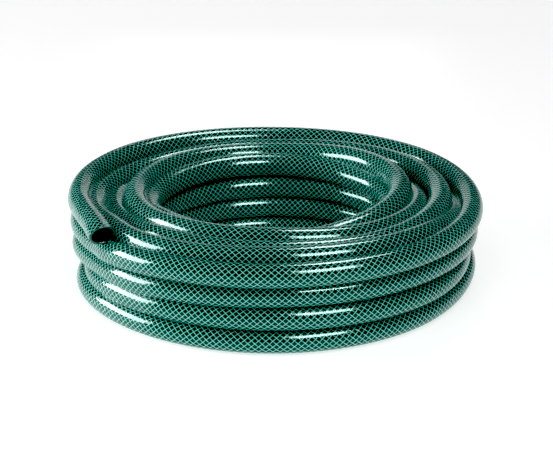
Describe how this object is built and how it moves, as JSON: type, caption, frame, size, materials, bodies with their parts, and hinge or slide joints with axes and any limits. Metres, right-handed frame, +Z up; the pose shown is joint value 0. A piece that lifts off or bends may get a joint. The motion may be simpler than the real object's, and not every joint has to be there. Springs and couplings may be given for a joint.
{
  "type": "garden hose",
  "caption": "Garden hose of green braid-reinforced plastic, wound into a round coil that lies flat, with an open cut end on top.",
  "frame": {"origin": "centre of the coil's footprint, on the surface it lies on", "axes": "+Z up along the coil's axis, -Y towards the front of the picture, with the open end at the left front"},
  "size_m": [0.415, 0.415, 0.099],
  "materials": {
    "hose_wall": "glossy dark green PVC over a light green yarn braid"
  },
  "bodies": {
    "root": {"hose": "hose_wall"}
  },
  "joints": []
}
